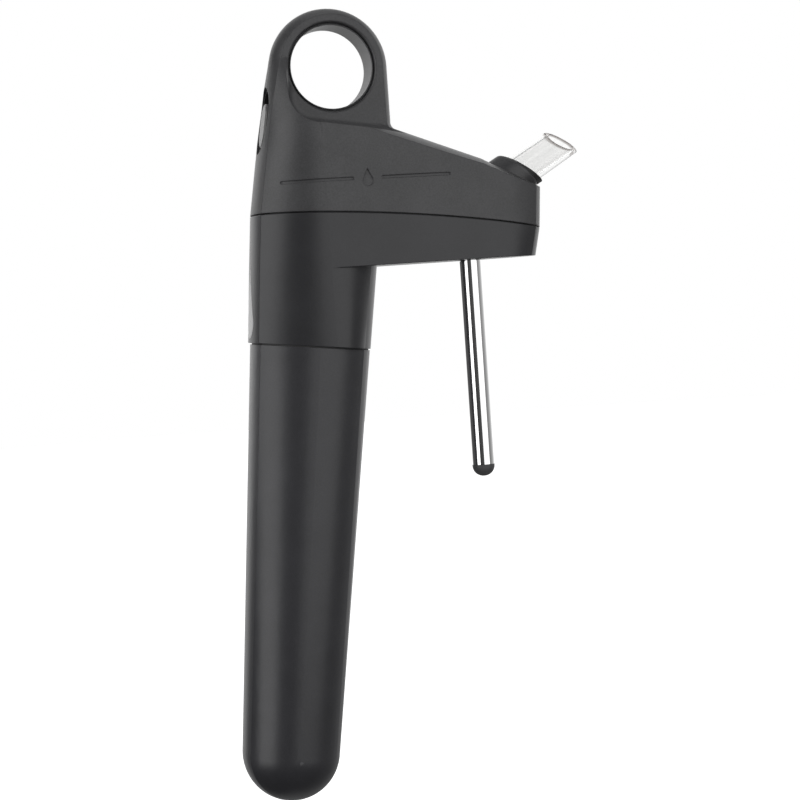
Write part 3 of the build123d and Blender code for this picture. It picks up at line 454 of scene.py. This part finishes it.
def studio_floor():
    """A wide pale floor a little way under the object."""
    level = low.z - FLOOR_DROP
    points = [(middle.x, middle.y, level)]
    for ring in range(1, FLOOR_RINGS + 1):
        radius = FLOOR_REACH * ring / FLOOR_RINGS
        for k in range(FLOOR_SIDES):
            turn = 2 * math.pi * k / FLOOR_SIDES
            points.append((middle.x + radius * math.cos(turn), middle.y + radius * math.sin(turn), level))
    faces = [(0, 1 + k, 1 + (k + 1) % FLOOR_SIDES) for k in range(FLOOR_SIDES)]
    for ring in range(FLOOR_RINGS - 1):
        inner = 1 + ring * FLOOR_SIDES
        outer = inner + FLOOR_SIDES
        for k in range(FLOOR_SIDES):
            n = (k + 1) % FLOOR_SIDES
            faces.append((inner + k, outer + k, outer + n, inner + n))
    mesh = bpy.data.meshes.new("studio_floor")
    mesh.from_pydata(points, [], faces)
    floor = bpy.data.objects.new("studio_floor", mesh)
    scene.collection.objects.link(floor)
    s = Shader("studio_paper")
    paper = s.noise(0.05, detail=2)
    s.link(s.blend(paper, (0.90, 0.90, 0.90), (0.93, 0.93, 0.93)), s.bsdf.inputs["Base Color"])
    s.set(Roughness=0.9, Specular_IOR_Level=0.0)
    s.set(Emission_Color=(1, 1, 1, 1), Emission_Strength=PAPER_GLOW)
    mesh.materials.append(s.material)
    floor.visible_diffuse = False
    floor.visible_glossy = False


def fill_ramp(ramp, stops):
    """Grey stops (position, level) on a colour ramp."""
    while len(ramp.elements) < len(stops):
        ramp.elements.new(0.5)
    for element, (position, level) in zip(ramp.elements, stops):
        element.position = position
        element.color = (level, level, level, 1)


def studio_air():
    """White air for the eye; for light and reflections a room with brighter and darker walls."""
    world = bpy.data.worlds.new("studio_air")
    scene.world = world
    world.use_nodes = True
    tree = world.node_tree
    tree.nodes.clear()
    out = tree.nodes.new("ShaderNodeOutputWorld")
    place = tree.nodes.new("ShaderNodeTexCoord")
    split = tree.nodes.new("ShaderNodeSeparateXYZ")
    front = tree.nodes.new("ShaderNodeMath")
    front.operation = "MULTIPLY"
    front.inputs[1].default_value = -1
    turn = tree.nodes.new("ShaderNodeMath")
    turn.operation = "ARCTAN2"
    around = tree.nodes.new("ShaderNodeMapRange")
    around.inputs["From Min"].default_value = -math.pi
    around.inputs["From Max"].default_value = math.pi
    walls = tree.nodes.new("ShaderNodeValToRGB")
    height = tree.nodes.new("ShaderNodeMapRange")
    height.inputs["From Min"].default_value = -1
    heights = tree.nodes.new("ShaderNodeValToRGB")
    fill_ramp(walls.color_ramp, [((azimuth + 180) / 360, level) for azimuth, level in AIR_ROUND_ABOUT])
    fill_ramp(heights.color_ramp, [((z + 1) / 2, level) for z, level in AIR_UP_AND_DOWN])
    light = tree.nodes.new("ShaderNodeBackground")
    seen = tree.nodes.new("ShaderNodeBackground")
    seen.inputs["Color"].default_value = (1, 1, 1, 1)
    path = tree.nodes.new("ShaderNodeLightPath")
    choose = tree.nodes.new("ShaderNodeMixShader")
    tree.links.new(place.outputs["Generated"], split.inputs["Vector"])
    tree.links.new(split.outputs["Y"], front.inputs[0])
    tree.links.new(split.outputs["X"], turn.inputs[0])
    tree.links.new(front.outputs["Value"], turn.inputs[1])
    tree.links.new(turn.outputs["Value"], around.inputs["Value"])
    tree.links.new(around.outputs["Result"], walls.inputs["Fac"])
    tree.links.new(split.outputs["Z"], height.inputs["Value"])
    tree.links.new(height.outputs["Result"], heights.inputs["Fac"])
    tree.links.new(walls.outputs["Color"], light.inputs["Color"])
    tree.links.new(heights.outputs["Color"], light.inputs["Strength"])
    tree.links.new(path.outputs["Is Camera Ray"], choose.inputs["Fac"])
    tree.links.new(light.outputs["Background"], choose.inputs[1])
    tree.links.new(seen.outputs["Background"], choose.inputs[2])
    tree.links.new(choose.outputs["Shader"], out.inputs["Surface"])


def softbox(name, azimuth, width, radiance):
    """A soft rectangular light that looks at the object; azimuth 0 is in front of it, 90 on its +X side."""
    data = bpy.data.lights.new(name, "AREA")
    data.shape = "RECTANGLE"
    data.size = width
    data.size_y = LAMP_HEIGHT
    data.energy = radiance * math.pi * width * LAMP_HEIGHT
    lamp = bpy.data.objects.new(name, data)
    turn = math.radians(azimuth)
    rise = math.radians(LAMP_RISE)
    away = Vector((math.sin(turn) * math.cos(rise), -math.cos(turn) * math.cos(rise), math.sin(rise)))
    lamp.location = middle + away * LAMP_DISTANCE
    lamp.rotation_euler = (-away).to_track_quat("-Z", "Y").to_euler()
    lamp.visible_camera = False
    scene.collection.objects.link(lamp)


def overhead():
    """A weak even light from above."""
    data = bpy.data.lights.new("overhead", "SUN")
    data.energy = OVERHEAD_STRENGTH
    data.angle = math.radians(OVERHEAD_SPREAD)
    lamp = bpy.data.objects.new("overhead", data)
    lamp.location = (0, 0, 1)
    scene.collection.objects.link(lamp)


studio_floor()
studio_air()
softbox("key_left", azimuth=-66, width=0.71, radiance=2.0)
softbox("fill_right", azimuth=26, width=1.05, radiance=1.15)
overhead()
scene.view_settings.view_transform = "Standard"


# ---------------------------------------------------------------- camera
camera_data = bpy.data.cameras.new("camera")
camera_data.lens = CAMERA_LENS
camera_data.sensor_width = CAMERA_SENSOR
camera_data.clip_start = CAMERA_CLIP
camera = bpy.data.objects.new("camera", camera_data)
scene.collection.objects.link(camera)
forward = (CAMERA_TARGET - CAMERA_PLACE).normalized()
up = Vector((math.sin(CAMERA_LEAN), 0, math.cos(CAMERA_LEAN)))
right = forward.cross(up).normalized()
up = right.cross(forward)
camera.matrix_world = Matrix((right, up, -forward)).transposed().to_4x4()
camera.location = CAMERA_PLACE
scene.camera = camera
